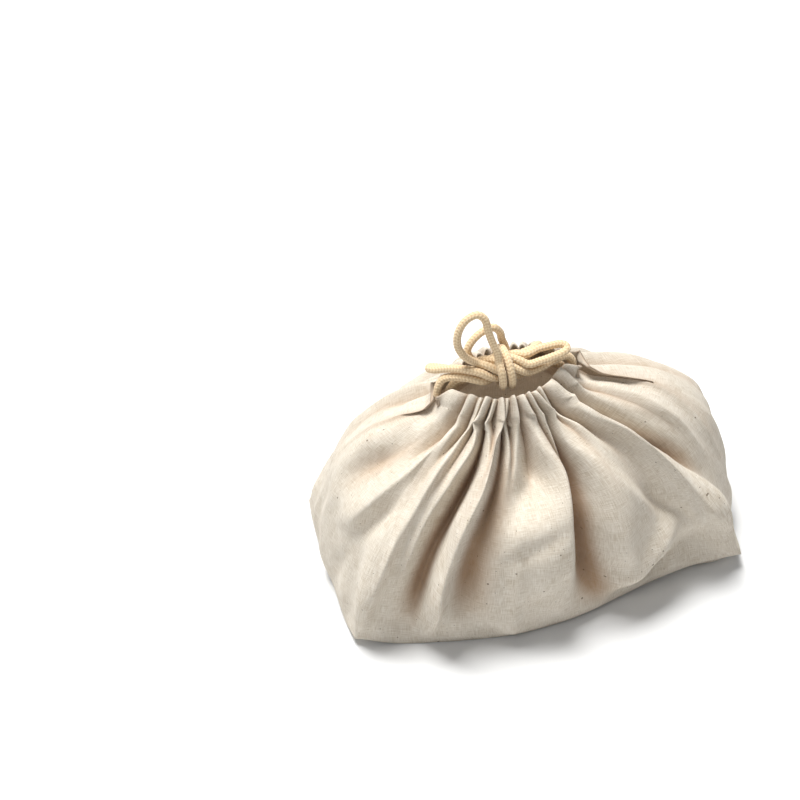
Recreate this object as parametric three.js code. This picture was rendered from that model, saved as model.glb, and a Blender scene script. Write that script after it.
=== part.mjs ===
// Drawstring lunch bag of plain-woven linen and cotton, gathered at the mouth by two cords tied in a bow.
// Millimetres, +Z up, front towards -Y, origin on the floor under the middle of the cloth.
import * as THREE from "three";

// Cloth as cut and sewn: one strip makes front, base and back, with a seam up the middle of each end
const BASE_LENGTH = 250;
const BASE_DEPTH = 120;
const PANEL = BASE_LENGTH + BASE_DEPTH;
const GIRTH = 2 * PANEL;
const CLOTH = 1.2;

// Gathered mouth: the stitch line, its ends to left and right, their rise, and the spread of its middle
const RING_HALF = 27;
const RING_POWER = 2.4;
const RING_RISE = { left: 2, right: 5 };
const RING_ENDS = { front: [-58, 29], back: [-57, 32] };
const RING_SPREAD = 0.78;

// Turned top edge: stitch line below the tunnel, inward lean, room in the tunnel and at its flat ends, slit
// between the ends, puff of the gathers
const STITCH_DROP = 6;
const TUNNEL_LEAN = 6;
const TUNNEL = 3.2;
const TUNNEL_END = 1.4;
const TUNNEL_GAP = 6.8;
const GAP_POWER = 12;
const TUNNEL_PUFF = 1;
const TUNNEL_DENT = 0.4;
const FOLD_RISE = 5;

// Rows of the turned edge, over the fold and down inside: share of the room to each side, sway with the
// gathers, height
const TURNED_ROWS = [
  { outer: 0.6, inner: 0, sway: 1.8, up: -3.2, lift: 0 },
  { outer: 1, inner: 0, sway: 1.2, up: 0.2, lift: 0 },
  { outer: 0.72, inner: 0, sway: 1.4, up: 3.6, lift: 0.4 },
  { outer: 0, inner: 0, sway: 1.8, up: 5, lift: 0.8 },
  { outer: 0, inner: 0.72, sway: 1.4, up: 3.6, lift: 0.4 },
  { outer: 0, inner: 1, sway: 1.2, up: -1, lift: 0 },
  { outer: 0, inner: 0.86, sway: 1.2, up: -10, lift: 0 },
];

// Tips of the boxed corners, counter-clockwise from the back left: lift off the floor, sag of the wall above
const CORNERS = [
  { x: -126, y: 58, lift: 8, reach: 20, sag: 2 },
  { x: -124, y: -60, lift: 5, reach: 16, sag: 0 },
  { x: 114, y: -61, lift: 10, reach: 55, sag: 0 },
  { x: 131, y: 63, lift: 9, reach: 25, sag: 10 },
];
const SAG_REACH = 80;
const TIP_SHARE = 0.3;

// Base edge that follows each corner: cloth length and outward bow
const SIDES = [
  { length: BASE_DEPTH, bow: 4, long: false },
  { length: BASE_LENGTH, bow: 22, long: true },
  { length: BASE_DEPTH, bow: 2, long: false },
  { length: BASE_LENGTH, bow: 6, long: true },
];
const FRONT_SIDE = 1;

// Bow of the front edge from left to right, as a share
const FRONT_BOW = [
  { share: 0, out: 0 },
  { share: 0.12, out: 0.38 },
  { share: 0.25, out: 0.78 },
  { share: 0.36, out: 1 },
  { share: 0.46, out: 0.98 },
  { share: 0.57, out: 0.8 },
  { share: 0.68, out: 0.46 },
  { share: 0.78, out: 0.14 },
  { share: 0.88, out: -0.03 },
  { share: 1, out: 0 },
];

// Cloth from a corner to where the wall is all front, back or end
const LONG_BLEND = 95;
const END_BLEND = 60;

// Sections up the wall: inset from the base edge to the mouth, at a corner, the front, the back and an end
const INSETS = [
  { share: 0, corner: 0, front: 0.09, back: 0.09, end: 0.04 },
  { share: 0.06, corner: 0.02, front: 0.01, back: 0.01, end: 0.01 },
  { share: 0.15, corner: 0.06, front: -0.03, back: 0, end: 0 },
  { share: 0.35, corner: 0.2, front: -0.01, back: 0.06, end: 0.05 },
  { share: 0.55, corner: 0.37, front: 0.12, back: 0.22, end: 0.16 },
  { share: 0.75, corner: 0.62, front: 0.43, back: 0.5, end: 0.41 },
  { share: 0.88, corner: 0.81, front: 0.7, back: 0.74, end: 0.69 },
  { share: 0.95, corner: 0.92, front: 0.88, back: 0.9, end: 0.87 },
  { share: 1, corner: 1, front: 1, back: 1, end: 1 },
];

// Height at the same sections, then the depth of the gathers and the weight of the folds
const HEIGHTS = [
  { share: 0, corner: 0, front: 0, back: 0, end: 0, gather: 0, fold: 0 },
  { share: 0.06, corner: 9, front: 7, back: 7, end: 8, gather: 0, fold: 0.6 },
  { share: 0.15, corner: 24, front: 21, back: 21, end: 22, gather: 0, fold: 1 },
  { share: 0.35, corner: 54, front: 51, back: 48, end: 53, gather: 0, fold: 1 },
  { share: 0.55, corner: 80, front: 77, back: 75, end: 82, gather: 0.2, fold: 1 },
  { share: 0.75, corner: 101, front: 98, back: 96, end: 104, gather: 1.4, fold: 0.95 },
  { share: 0.88, corner: 113, front: 110.5, back: 109, end: 114, gather: 2.4, fold: 0.5 },
  { share: 0.95, corner: 118.5, front: 117.5, back: 116, end: 118.5, gather: 2.6, fold: 0.2 },
  { share: 1, corner: 123.5, front: 123.5, back: 123.5, end: 123.5, gather: 2.2, fold: 0 },
];

// Run of the folds down each panel: distance from its first seam at the mouth, half way and at the base
const FRONT_RUN = [
  { top: 0, mid: 0, low: 0 },
  { top: 42, mid: 14, low: 9 },
  { top: 74, mid: 36, low: 28 },
  { top: 94, mid: 70, low: 60 },
  { top: 112, mid: 88, low: 80 },
  { top: 124, mid: 102, low: 92 },
  { top: 142, mid: 118, low: 106 },
  { top: 158, mid: 135, low: 126 },
  { top: 206, mid: 184, low: 188 },
  { top: 224, mid: 203, low: 217 },
  { top: 240, mid: 220, low: 234 },
  { top: 266, mid: 260, low: 272 },
  { top: 288, mid: 298, low: 318 },
  { top: 306, mid: 318, low: 338 },
  { top: 350, mid: 350, low: 354 },
  { top: 370, mid: 370, low: 370 },
];
const BACK_RUN = [
  { top: 0, mid: 0, low: 0 },
  { top: 60, mid: 50, low: 48 },
  { top: 118, mid: 104, low: 98 },
  { top: 185, mid: 184, low: 184 },
  { top: 252, mid: 264, low: 270 },
  { top: 310, mid: 320, low: 322 },
  { top: 370, mid: 370, low: 370 },
];

// Main folds: place at the mouth, share of the wall at the foot, height (a trough is negative), widths
const FRONT_FOLDS = [
  { at: 42, foot: 0.45, height: -7, before: 12, after: 12 },
  { at: 71, foot: 0.2, height: 9, before: 12, after: 10 },
  { at: 94, foot: 0, height: 8, before: 7, after: 6 },
  { at: 110, foot: 0.15, height: 8, before: 20, after: 7 },
  { at: 124, foot: 0.02, height: -15, before: 6, after: 7 },
  { at: 142, foot: 0, height: 15, before: 10, after: 6 },
  { at: 157, foot: 0.08, height: -11, before: 7, after: 16 },
  { at: 206, foot: 0.1, height: 7, before: 26, after: 9 },
  { at: 224, foot: 0, height: -20, before: 7, after: 8 },
  { at: 242, foot: 0.1, height: 9, before: 9, after: 14 },
  { at: 266, foot: 0.2, height: -6, before: 10, after: 9 },
  { at: 288, foot: 0.06, height: 14, before: 13, after: 8 },
  { at: 306, foot: 0.26, height: -13, before: 9, after: 10 },
  { at: 347, foot: 0.4, height: 7, before: 15, after: 10 },
];
const BACK_FOLDS = [
  { at: 48, foot: 0.2, height: 6, before: 16, after: 13 },
  { at: 75, foot: 0.3, height: -6, before: 9, after: 11 },
  { at: 110, foot: 0.1, height: 7, before: 15, after: 9 },
  { at: 130, foot: 0.15, height: -7, before: 9, after: 10 },
  { at: 164, foot: 0.12, height: 6, before: 12, after: 16 },
  { at: 205, foot: 0.1, height: 7, before: 15, after: 9 },
  { at: 226, foot: 0.2, height: -7, before: 9, after: 12 },
  { at: 260, foot: 0.1, height: 7, before: 14, after: 11 },
  { at: 288, foot: 0.3, height: -5, before: 10, after: 10 },
  { at: 322, foot: 0.2, height: 6, before: 14, after: 14 },
];

const FOOT_RISE = 0.3;
const FOLD_SHARP = 1.6;
const SEAM_FLAT = 12;

// Gathers across a panel, and the waves that make them uneven
const GATHERS = 11;
const GATHER_SWAY = [
  { turns: 1.7, phase: 0.6, amount: 0.3 },
  { turns: 4.3, phase: 2.0, amount: 0.16 },
];
const GATHER_SWELL = { turns: 2.6, phase: 1.1, amount: 0.25 };
const GATHER_FADE = 0.88;

// Mesh of the cloth
const FRONT_COLUMNS = 78;
const BACK_COLUMNS = 54;
const WALL_SHARES = [0, 0.05, 0.13, 0.23, 0.33, 0.43, 0.53, 0.62, 0.7, 0.78, 0.86, 0.93, 1];
const BASE_INNER = 0.84;
const PROBE = { place: 3, share: 0.03, across: 0.02 };
const SHARPEST_LEAN = 0.6;

// Cords
const CORD_SIDES = 8;
const CORD = 4.5;
const KNOT = new THREE.Vector3(-17.5, -4.2, 144.4);
const BUNDLE = 6.1;
const BUNDLE_HALF = 14;
const BUNDLE_STEPS = 6;
const WRAP = 11.1;
const WRAP_PITCH = 5.4;
const WRAP_X = -2.7;
const WRAP_STEP = 30;

// Middle of the cloth's box in the sizes above, which is moved to the origin
const MIDDLE = { x: 0.9, y: -9.3 };

function smooth(from, to, value) {
  return THREE.MathUtils.smoothstep(value, from, to);
}

// Smooth curve through one column of a table, by the value of its key column
function along(rows, key, value, column) {
  const slope = (i) => {
    const low = rows[Math.max(i - 1, 0)];
    const high = rows[Math.min(i + 1, rows.length - 1)];
    return (high[column] - low[column]) / (high[key] - low[key]);
  };
  let i = 0;
  while (i < rows.length - 2 && value >= rows[i + 1][key]) i += 1;
  const step = rows[i + 1][key] - rows[i][key];
  const u = (value - rows[i][key]) / step;
  const start = (1 + 2 * u) * (1 - u) ** 2 * rows[i][column] + u * (1 - u) ** 2 * step * slope(i);
  return start + u * u * (3 - 2 * u) * rows[i + 1][column] + u * u * (u - 1) * step * slope(i + 1);
}

// Distance along a panel of the line of cloth that starts at a place on the mouth
function runDistance(front, place, share) {
  const rows = front ? FRONT_RUN : BACK_RUN;
  const u = 1 - share;
  const mid = along(rows, "top", place, "mid");
  const low = along(rows, "top", place, "low");
  return place * (1 - 3 * u + 2 * u * u) + mid * 4 * u * (1 - u) + low * u * (2 * u - 1);
}

// Point of the base edge at a distance round the girth from the left seam
function baseEdge(distance) {
  let left = (distance + BASE_DEPTH / 2 + GIRTH) % GIRTH;
  let k = 0;
  while (left >= SIDES[k].length) {
    left -= SIDES[k].length;
    k += 1;
  }
  const side = SIDES[k];
  const start = CORNERS[k];
  const end = CORNERS[(k + 1) % CORNERS.length];
  const u = left / side.length;
  const run = new THREE.Vector2(end.x - start.x, end.y - start.y);
  const out = new THREE.Vector2(run.y, -run.x).normalize();
  const share = k === FRONT_SIDE ? along(FRONT_BOW, "share", u, "out") : 4 * u * (1 - u);
  const bow = side.bow * share;
  const nearest = u < 0.5 ? start : end;
  const away = Math.min(u, 1 - u) * side.length;
  return {
    x: start.x + run.x * u + out.x * bow,
    y: start.y + run.y * u + out.y * bow,
    away,
    sag: nearest.sag * Math.exp(-((away / SAG_REACH) ** 2)),
    lift: nearest.lift * Math.exp(-((away / nearest.reach) ** 2)),
    long: side.long,
  };
}

// Point of the stitch line; across runs from -1 to 1 from the left end to the right end
function mouthPoint(front, across) {
  const half = RING_HALF * (1 - Math.abs(across) ** RING_POWER);
  const spread = Math.sign(across) * Math.abs(across) ** RING_SPREAD;
  return { x: ringX(front, spread), y: front ? -half : half };
}

function ringX(front, across) {
  const [left, right] = front ? RING_ENDS.front : RING_ENDS.back;
  return left + ((right - left) * (across + 1)) / 2;
}

// Cloth without folds, at a place on the mouth and a share of the wall
function plainPoint(front, place, share) {
  const distance = runDistance(front, place, share);
  const edge = baseEdge(front ? distance : distance + PANEL);
  const across = (front ? 1 : -1) * ((2 * place) / PANEL - 1);
  const mouth = mouthPoint(front, across);
  const long = edge.long ? smooth(0, LONG_BLEND, edge.away) : 0;
  const end = edge.long ? 0 : smooth(0, END_BLEND, edge.away);
  const face = front ? "front" : "back";
  const blend = (rows) => {
    const value = (column) => along(rows, "share", share, column);
    return (1 - long - end) * value("corner") + long * value(face) + end * value("end");
  };
  const inset = blend(INSETS);
  const tip = edge.lift * Math.max(0, 1 - share / TIP_SHARE) ** 2;
  const sag = edge.sag * 4 * share * (1 - share);
  const rise = (across < 0 ? RING_RISE.left : RING_RISE.right) * across * across * share * share;
  return new THREE.Vector3(
    edge.x + (mouth.x - edge.x) * inset,
    edge.y + (mouth.y - edge.y) * inset,
    CLOTH / 2 + blend(HEIGHTS) + rise + tip - sag,
  );
}

// Height of one fold
function foldHeight(fold, place, share) {
  const width = place < fold.at ? fold.before : fold.after;
  const rise = smooth(fold.foot, fold.foot + FOOT_RISE, share);
  return fold.height * rise * Math.exp(-(Math.abs((place - fold.at) / width) ** FOLD_SHARP));
}

// Gathers at a place along a panel, from -1 in a hollow to 1 on a crest
function gatherAt(place) {
  const q = place / PANEL;
  const wave = ({ turns, phase, amount }) => amount * Math.sin(2 * Math.PI * turns * q + phase);
  const sway = GATHER_SWAY.reduce((sum, row) => sum + wave(row), 0);
  const swell = 1 + wave(GATHER_SWELL);
  return -Math.cos(2 * Math.PI * (GATHERS * q + sway)) * swell * endFade(place);
}

// One away from the ends of the tunnel, nought at them
function endFade(place) {
  return 1 - smooth(GATHER_FADE, 1, Math.abs((2 * place) / PANEL - 1));
}

function wallPoint(front, place, share) {
  const before = plainPoint(front, Math.max(place - PROBE.place, 0), share);
  const after = plainPoint(front, Math.min(place + PROBE.place, PANEL), share);
  const low = plainPoint(front, place, Math.max(share - PROBE.share, 0));
  const high = plainPoint(front, place, Math.min(share + PROBE.share, 1));
  const normal = after.sub(before).cross(high.sub(low)).normalize();
  const folds = front ? FRONT_FOLDS : BACK_FOLDS;
  const seam = smooth(0, SEAM_FLAT, Math.min(place, PANEL - place));
  const height = folds.reduce((sum, fold) => sum + foldHeight(fold, place, share), 0) * seam;
  const weight = along(HEIGHTS, "share", share, "fold");
  const gather = gatherAt(place) * along(HEIGHTS, "share", share, "gather");
  return plainPoint(front, place, share).addScaledVector(normal, height * weight + gather);
}

// Rows of the turned edge, from the stitch line over the fold and down inside
function tunnelPoints(front, place) {
  const across = (front ? 1 : -1) * ((2 * place) / PANEL - 1);
  const centre = plainPoint(front, place, 1);
  centre.z += STITCH_DROP;
  const from = mouthPoint(front, Math.max(across - PROBE.across, -1));
  const to = mouthPoint(front, Math.min(across + PROBE.across, 1));
  const sign = front ? 1 : -1;
  const out = new THREE.Vector3(sign * (to.y - from.y), sign * (from.x - to.x), 0).normalize();
  const crest = gatherAt(place);
  const fade = endFade(place);
  const room = TUNNEL_END + (TUNNEL - TUNNEL_END) * fade;
  const outer = room + TUNNEL_PUFF * (1 + crest) * fade;
  const inner = room + TUNNEL_DENT * (1 - crest) * fade;
  const slope = (TUNNEL_LEAN * (0.1 + 0.9 * fade)) / (FOLD_RISE + STITCH_DROP);
  const apart = -sign * TUNNEL_GAP * Math.abs(across) ** GAP_POWER;
  const inward = ringX(front, across) - centre.x;
  return TURNED_ROWS.map((row) => {
    const climb = (row.up + STITCH_DROP) / (FOLD_RISE + STITCH_DROP);
    const away = row.outer * outer - row.inner * inner + row.sway * crest - slope * (row.up + STITCH_DROP);
    const point = centre.clone().addScaledVector(out, away);
    point.x += inward * climb;
    point.y += apart * (row.inner ? 1 : Math.min(2 * climb, 1));
    point.z += row.up + row.lift * crest;
    return point;
  });
}

// Sheet of triangles made into a solid of even thickness
function thicken(points, faces, thickness) {
  const normals = faces.map(([a, b, c]) => {
    const first = points[b].clone().sub(points[a]);
    return first.cross(points[c].clone().sub(points[a])).normalize();
  });
  const sums = points.map(() => new THREE.Vector3());
  const lists = points.map(() => []);
  faces.forEach((face, f) => {
    face.forEach((v, i) => {
      const to = points[face[(i + 1) % 3]].clone().sub(points[v]);
      const from = points[face[(i + 2) % 3]].clone().sub(points[v]);
      sums[v].addScaledVector(normals[f], to.angleTo(from));
      lists[v].push(normals[f]);
    });
  });
  const offsets = sums.map((sum, v) => {
    sum.normalize();
    const lean = lists[v].reduce((total, n) => total + n.dot(sum), 0) / lists[v].length;
    return sum.multiplyScalar(thickness / 2 / Math.max(lean, SHARPEST_LEAN));
  });
  const positions = [];
  [1, -1].forEach((sign) => {
    points.forEach((p, v) => positions.push(...p.clone().addScaledVector(offsets[v], sign).toArray()));
  });
  const n = points.length;
  const edges = new Set(faces.flatMap(([a, b, c]) => [`${a} ${b}`, `${b} ${c}`, `${c} ${a}`]));
  const index = [];
  faces.forEach(([a, b, c]) => {
    index.push(a, b, c, a + n, c + n, b + n);
  });
  edges.forEach((edge) => {
    const [a, b] = edge.split(" ").map(Number);
    if (!edges.has(`${b} ${a}`)) index.push(b, a, a + n, b, a + n, b + n);
  });
  const geometry = new THREE.BufferGeometry();
  geometry.setAttribute("position", new THREE.Float32BufferAttribute(positions, 3));
  geometry.setIndex(index);
  return geometry;
}

// The whole cloth: base, wall and turned edges
function bagGeometry() {
  const points = [];
  const faces = [];
  const add = (point) => points.push(point) - 1;
  const quad = (a, b, c, d) => {
    const rising = points[a].distanceTo(points[c]) < points[b].distanceTo(points[d]);
    faces.push(...(rising ? [[a, b, c], [a, c, d]] : [[a, b, d], [b, c, d]]));
  };
  const column = (front, place) => {
    const wall = WALL_SHARES.map((share) => wallPoint(front, place, share));
    return [...wall, ...tunnelPoints(front, place)].map(add);
  };
  const panel = (front, count) =>
    Array.from({ length: count + 1 }, (_, i) => column(front, (PANEL * i) / count));
  const frontPanel = panel(true, FRONT_COLUMNS);
  const backPanel = panel(false, BACK_COLUMNS);
  for (let j = 0; j < WALL_SHARES.length; j += 1) {
    backPanel[0][j] = frontPanel[FRONT_COLUMNS][j];
    backPanel[BACK_COLUMNS][j] = frontPanel[0][j];
  }
  [frontPanel, backPanel].forEach((columns) => {
    for (let i = 0; i + 1 < columns.length; i += 1) {
      const here = columns[i];
      const next = columns[i + 1];
      for (let j = 0; j + 1 < here.length; j += 1) quad(here[j], next[j], next[j + 1], here[j + 1]);
    }
  });
  const rim = [...frontPanel.slice(0, -1), ...backPanel.slice(0, -1)].map((rows) => rows[0]);
  const inner = rim.map((v) => {
    const p = points[v];
    return add(new THREE.Vector3(p.x * BASE_INNER, p.y * BASE_INNER, CLOTH / 2));
  });
  rim.forEach((v, i) => {
    const next = (i + 1) % rim.length;
    quad(inner[i], inner[next], rim[next], v);
  });
  const outline = inner.map((v) => new THREE.Vector2(points[v].x, points[v].y));
  THREE.ShapeUtils.triangulateShape(outline, []).forEach(([a, b, c]) => {
    faces.push([inner[a], inner[c], inner[b]]);
  });
  return thicken(usedOnly(points, faces), faces, CLOTH);
}

// Drops the points that no face uses, and renumbers the faces
function usedOnly(points, faces) {
  const place = new Map();
  faces.forEach((face) => {
    face.forEach((v, i) => {
      if (!place.has(v)) place.set(v, place.size);
      face[i] = place.get(v);
    });
  });
  return [...place.keys()].map((v) => points[v]);
}

// Places below are measured from the middle of the knot.
// A strand through the knot: six lie in a ring that makes half a turn from left to right
function throughKnot(angle, toRight) {
  const places = [];
  for (let i = 0; i <= BUNDLE_STEPS; i += 1) {
    const share = toRight ? i / BUNDLE_STEPS : 1 - i / BUNDLE_STEPS;
    const turn = THREE.MathUtils.degToRad(angle + 180 * share);
    places.push([BUNDLE_HALF * (2 * share - 1), BUNDLE * Math.cos(turn), BUNDLE * Math.sin(turn)]);
  }
  return places;
}

// Turns round the six strands, by angle up from the front
function wrapTurns(from, to) {
  const places = [];
  for (let angle = from; angle >= to; angle -= WRAP_STEP) {
    const turn = THREE.MathUtils.degToRad(angle);
    places.push([WRAP_X - (WRAP_PITCH * angle) / 360, -WRAP * Math.cos(turn), WRAP * Math.sin(turn)]);
  }
  return places;
}

// Right cord: out of the right slit, through the knot, large loop, round the knot twice, small loop, back to
// the slit
const RIGHT_ROUTE = [
  [37.5, 4.2, -14],
  [35.5, 4.2, -10.5],
  [30.5, 3.9, -8],
  [23.5, 2.2, -7.5],
  ...throughKnot(90, false),
  [-19.5, -0.5, 10.5],
  [-24, -0.5, 16.5],
  [-26, 0, 23],
  [-25, 1, 31],
  [-20.2, 2, 37.8],
  [-13.8, 2, 40.3],
  [-9.8, 1, 37.2],
  [-8, -1, 28.5],
  [-6, -3, 21],
  [-4, -4.3, 15.5],
  ...wrapTurns(60, -540),
  [4.6, 11.3, 5.5],
  [2.6, 10.7, 11.5],
  [1.4, 10, 17.5],
  [-2.7, 9, 22.8],
  [-9.3, 8, 22],
  [-15.5, 7, 17.5],
  [-18.8, 6, 12],
  [-17.5, 5.4, 6.5],
  ...throughKnot(30, true),
  [23.5, -3.3, -2.5],
  [32.5, 0.7, -2.5],
  [39.5, 3.9, -4.5],
  [42.8, 4.2, -9],
  [43.2, 4.2, -13],
];

// Left cord: out of the left slit, through the knot, back loop, left tail, front loop, back to the slit
const LEFT_ROUTE = [
  [-38, 4.2, -16],
  [-37, 4.2, -9.8],
  [-34, 4.2, -4.6],
  [-27.5, 1.2, -2],
  [-20.5, -2.8, -1.5],
  ...throughKnot(210, true),
  [19, 6.8, 3],
  [23, 9.6, 2.2],
  [25.2, 12.8, 0.2],
  [23.2, 14.8, -2.6],
  [19.5, 12.6, -4.2],
  [17, 9.5, -3.6],
  ...throughKnot(150, false),
  [-20.5, -2, 4.2],
  [-27, 2.5, 3.2],
  [-33, 6.5, 1],
  [-37.5, 9.5, -1],
  [-40, 12.8, -2.4],
  [-38.4, 15.4, -3.4],
  [-33.5, 13.4, -3.4],
  [-27.5, 10.4, -3.6],
  [-21, 7.6, -3.4],
  ...throughKnot(-30, true),
  [21, -5.6, 4],
  [28.5, -6.2, 5.2],
  [34.5, -6, 6.4],
  [37.8, -2.6, 7.8],
  [34.6, 1, 9.2],
  [29, 1.2, 9],
  [21.5, 0.8, 7.8],
  ...throughKnot(-90, false),
  [-20.5, 2.7, -6.5],
  [-26.5, 4.2, -8.6],
  [-30, 4.2, -12.4],
  [-31, 4.2, -16],
];

function cordGeometry(route, steps) {
  const places = route.map(([x, y, z]) => new THREE.Vector3(x, y, z).add(KNOT));
  const section = new THREE.Shape();
  for (let i = 0; i < CORD_SIDES; i += 1) {
    const turn = (2 * Math.PI * i) / CORD_SIDES;
    const x = (CORD / 2) * Math.cos(turn);
    const y = (CORD / 2) * Math.sin(turn);
    if (i) section.lineTo(x, y);
    else section.moveTo(x, y);
  }
  section.closePath();
  const extrudePath = new THREE.CatmullRomCurve3(places);
  return new THREE.ExtrudeGeometry(section, { steps, extrudePath, bevelEnabled: false });
}

const LINEN = { color: 0xd9cfba, roughness: 0.95 };
const COTTON = { color: 0xd3b68c, roughness: 0.9 };

function piece(name, geometry, finish) {
  geometry.translate(-MIDDLE.x, -MIDDLE.y, 0);
  const mesh = new THREE.Mesh(geometry, new THREE.MeshStandardMaterial(finish));
  mesh.name = name;
  return mesh;
}

const bag = new THREE.Group();
bag.add(piece("bag_body", bagGeometry(), LINEN));
bag.add(piece("cord_left", cordGeometry(LEFT_ROUTE, 84), COTTON));
bag.add(piece("cord_right", cordGeometry(RIGHT_ROUTE, 112), COTTON));

export default bag;
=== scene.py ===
"""Drawstring lunch bag of undyed linen, gathered at its mouth by two plaited cords tied in a bow. Metres."""

import bpy
import numpy as np
from mathutils import Matrix, Vector


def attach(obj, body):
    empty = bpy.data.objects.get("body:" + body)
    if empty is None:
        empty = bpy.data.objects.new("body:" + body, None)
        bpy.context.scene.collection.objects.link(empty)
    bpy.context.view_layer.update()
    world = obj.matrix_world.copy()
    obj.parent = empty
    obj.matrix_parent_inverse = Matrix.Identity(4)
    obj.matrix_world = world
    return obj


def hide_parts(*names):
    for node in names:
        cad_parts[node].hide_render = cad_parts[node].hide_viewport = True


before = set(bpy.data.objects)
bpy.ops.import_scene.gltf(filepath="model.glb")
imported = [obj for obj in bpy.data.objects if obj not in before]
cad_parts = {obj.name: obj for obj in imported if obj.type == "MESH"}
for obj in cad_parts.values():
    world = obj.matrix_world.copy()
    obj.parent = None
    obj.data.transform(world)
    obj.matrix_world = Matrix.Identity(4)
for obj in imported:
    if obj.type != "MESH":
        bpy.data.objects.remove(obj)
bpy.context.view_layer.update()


def table(names, rows):
    """A short table as named columns."""
    return dict(zip(names.split(), np.array(rows, float).T))


# Cloth as cut and sewn: one strip makes front, base and back, with a seam up the middle of each end and its
# top edges turned in; the base lies just above the floor
BASE_LENGTH = 0.250
BASE_DEPTH = 0.120
PANEL = BASE_LENGTH + BASE_DEPTH
GIRTH = 2 * PANEL
WALL = 0.165
FLOOR_GAP = 0.0004

# Gathered mouth: half width and shape of the stitch line, rise of its ends to left and right, their place in
# front and at the back, and how its middle spreads
RING_HALF = 0.027
RING_POWER = 2.4
RING_RISE = {"left": 0.002, "right": 0.005}
RING_ENDS = {True: (-0.058, 0.029), False: (-0.057, 0.032)}
RING_SPREAD = 0.78

# Turned top edge: stitch line below the tunnel, inward lean and its share at the flat ends, room in the
# tunnel and at those ends, how far front and back part there, rise of the fold and its share at the ends
STITCH_DROP = 0.006
TUNNEL_LEAN = 0.0060
LEAN_ENDS = 0.1
TUNNEL = 0.0026
TUNNEL_END = 0.0013
TUNNEL_GAP = 0.0068
GAP_POWER = 12
FOLD_RISE = 0.005
FLAP_LOW = 0.25

# Rows of the turned edge, over the fold and down inside: share of the room out and in, depth of the pleats,
# height, and share of the pleats' own rise
TURNED_ROWS = table(
    "outer inner pleat up lift",
    [
        (0.2, 0, 0.0058, -0.0035, 0.1),
        (0.55, 0, 0.0044, 0, 0.4),
        (0.5, 0, 0.0024, 0.0032, 0.85),
        (0, 0, 0.0010, 0.0042, 1),
        (0, 0.72, 0.0012, 0.0028, 0.85),
        (0, 1, 0.0020, -0.001, 0.3),
        (0, 0.86, 0.0026, -0.010, 0),
    ],
)

# Tips of the boxed corners, counter-clockwise from the back left: lift off the floor and how far that
# reaches, and sag of the wall above
CORNERS = table(
    "x y lift reach sag",
    [
        (-0.126, 0.058, 0.008, 0.020, 0.002),
        (-0.124, -0.060, 0.005, 0.016, 0),
        (0.114, -0.061, 0.010, 0.055, 0),
        (0.131, 0.063, 0.009, 0.025, 0.010),
    ],
)
SAG_REACH = 0.080
SIDE_BLEND = 0.2
TIP_SHARE = 0.3

# Base edge that follows each corner: cloth length, outward bow, and whether it is a long side
SIDES = table(
    "length bow long",
    [
        (BASE_DEPTH, 0.004, 0),
        (BASE_LENGTH, 0.022, 1),
        (BASE_DEPTH, 0.002, 0),
        (BASE_LENGTH, 0.006, 1),
    ],
)
FRONT_SIDE = 1

# Bow of the front edge from left to right, as a share
FRONT_BOW = table(
    "share out",
    [
        (0, 0),
        (0.12, 0.38),
        (0.25, 0.78),
        (0.36, 1),
        (0.46, 0.98),
        (0.57, 0.8),
        (0.68, 0.46),
        (0.78, 0.14),
        (0.88, -0.03),
        (1, 0),
    ],
)
LONG_BLEND = 0.095
END_BLEND = 0.060

# Sections up the wall: inset from the base edge to the mouth, at a corner, the front, the back and an end
INSETS = table(
    "share corner front back end",
    [
        (0, 0, 0.09, 0.09, 0.04),
        (0.06, 0.02, 0.01, 0.01, 0.01),
        (0.15, 0.06, -0.03, 0, 0),
        (0.35, 0.2, -0.01, 0.06, 0.05),
        (0.55, 0.37, 0.12, 0.22, 0.16),
        (0.75, 0.62, 0.43, 0.50, 0.41),
        (0.88, 0.83, 0.73, 0.76, 0.71),
        (0.95, 0.945, 0.92, 0.93, 0.91),
        (1, 1, 1, 1, 1),
    ],
)

# Height at the same sections, then the depth of the pleats of front and back, how they curl aside, and the
# weight of the folds
HEIGHTS = table(
    "share corner front back end front_pleat back_pleat curl fold",
    [
        (0, 0, 0, 0, 0, 0, 0, 0, 0),
        (0.06, 0.009, 0.007, 0.007, 0.008, 0, 0, 0, 0.6),
        (0.15, 0.024, 0.021, 0.021, 0.022, 0, 0, 0, 1),
        (0.35, 0.054, 0.051, 0.048, 0.053, 0, 0.0003, 0, 1),
        (0.55, 0.080, 0.077, 0.075, 0.082, 0.0003, 0.0022, 0, 1),
        (0.75, 0.101, 0.098, 0.096, 0.104, 0.0022, 0.0044, -0.2, 0.95),
        (0.88, 0.113, 0.1105, 0.109, 0.114, 0.0050, 0.0056, -0.6, 0.5),
        (0.95, 0.1185, 0.1175, 0.116, 0.1185, 0.0060, 0.0060, 0.2, 0.2),
        (1, 0.1235, 0.1235, 0.1235, 0.1235, 0.0062, 0.0062, 1, 0),
    ],
)

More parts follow.
